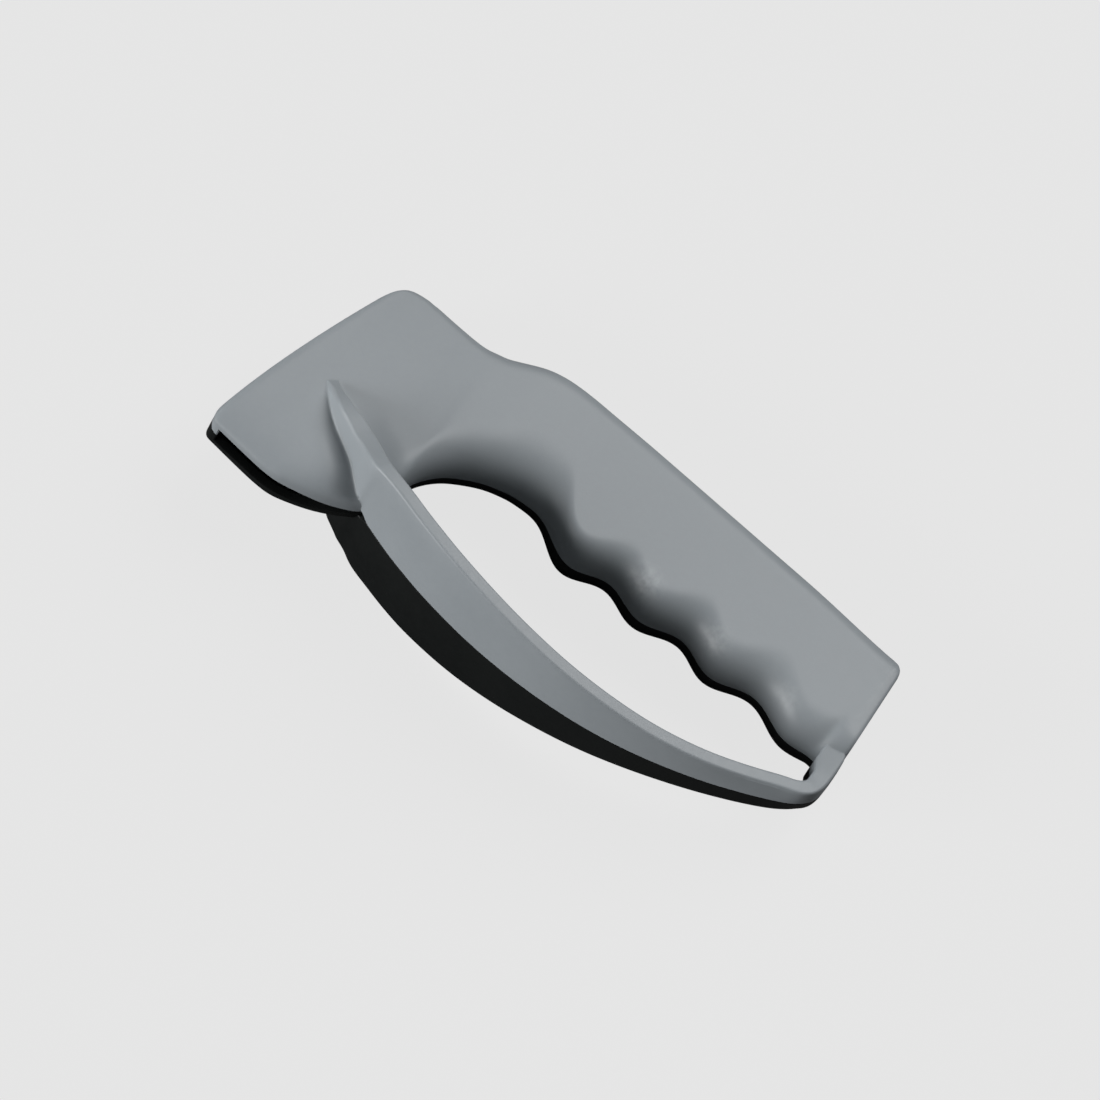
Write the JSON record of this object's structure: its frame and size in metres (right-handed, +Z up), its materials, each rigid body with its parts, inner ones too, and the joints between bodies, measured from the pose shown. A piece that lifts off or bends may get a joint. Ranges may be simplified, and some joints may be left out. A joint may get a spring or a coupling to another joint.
{
  "type": "pull through knife sharpener",
  "caption": "Hand grip with finger grooves and a wide finger guard, and a hollow head through which a blade is drawn past two crossed cutters.",
  "frame": {"origin": "middle of the bounding box's bottom, on the surface that the tool lies on", "axes": "+X from the head to the butt of the grip, +Y from the guard towards the straight back, +Z up, out of the light side as the tool lies on its dark side"},
  "size_m": [0.16, 0.0698, 0.0387],
  "materials": {
    "grey_plastic": "fine satin mould texture",
    "black_plastic": "satin black moulding",
    "hard_metal": "ground hard metal",
    "dark_plastic": "plain black moulding",
    "steel": "zinc plated"
  },
  "bodies": {
    "root": {"upper_shell": "grey_plastic", "lower_shell": "black_plastic", "cutter_front": "hard_metal", "cutter_rear": "hard_metal", "cutter_holder": "dark_plastic", "case_screws": "steel"}
  },
  "joints": []
}
